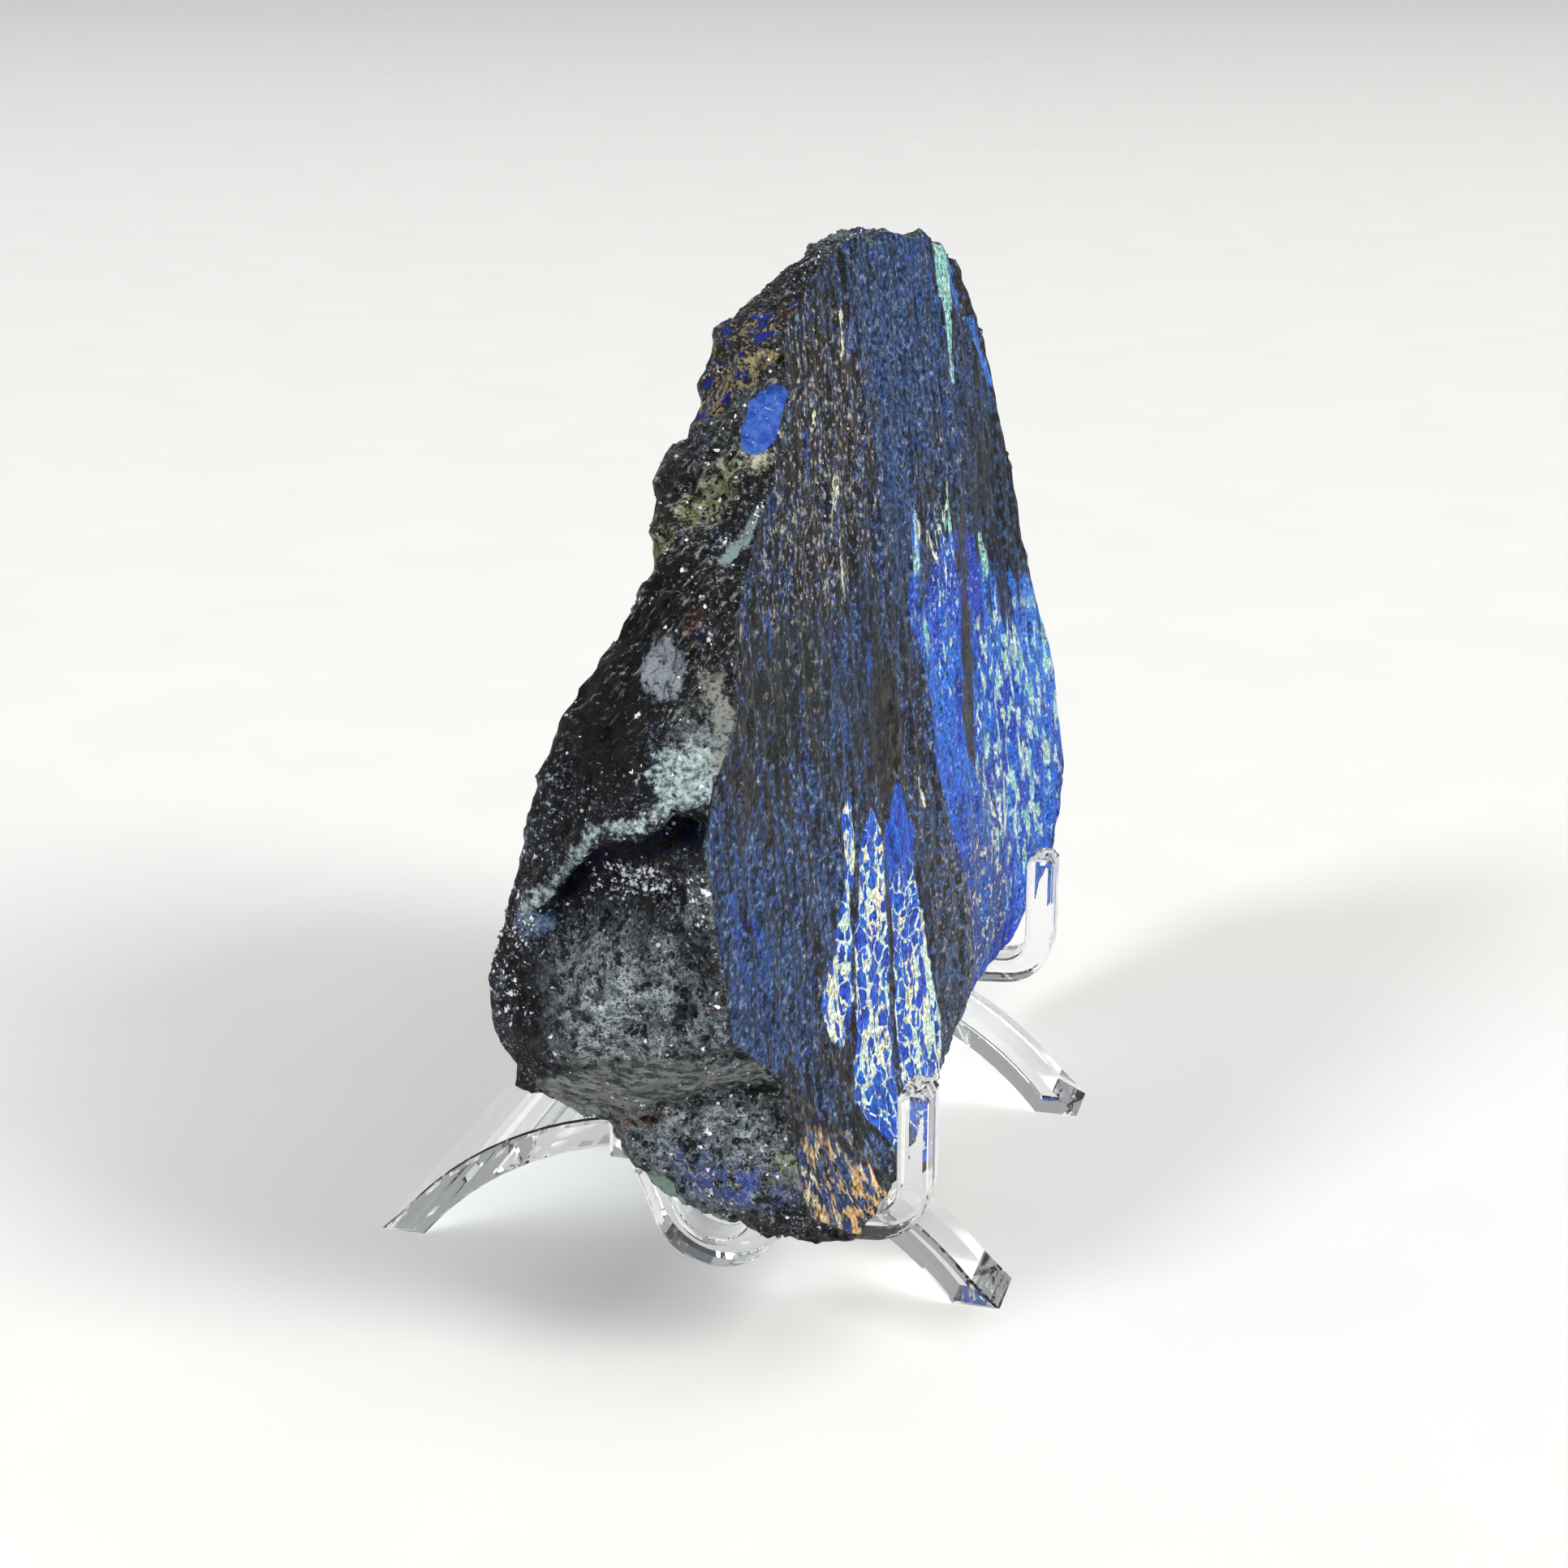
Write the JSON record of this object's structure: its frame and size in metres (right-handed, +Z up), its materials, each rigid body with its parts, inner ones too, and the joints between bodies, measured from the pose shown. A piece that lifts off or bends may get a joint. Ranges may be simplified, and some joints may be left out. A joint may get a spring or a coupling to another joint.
{
  "type": "azurite malachite slab on a clear stand",
  "caption": "Thick natural slab of azurite and malachite with a split fibrous face, resting upright in a small clear moulded display stand.",
  "frame": {"origin": "on the table, at the middle of the whole object seen from above", "axes": "+X along the slab's width from its rough broken side to its far side, -Y the way its split face looks, +Z up"},
  "size_m": [0.0932, 0.0568, 0.0877],
  "materials": {
    "stone": "rough split mineral, blue with pale green and brown",
    "clear_plastic": "clear, polished"
  },
  "bodies": {
    "root": {"slab": "stone", "stand": "clear_plastic"}
  },
  "joints": []
}
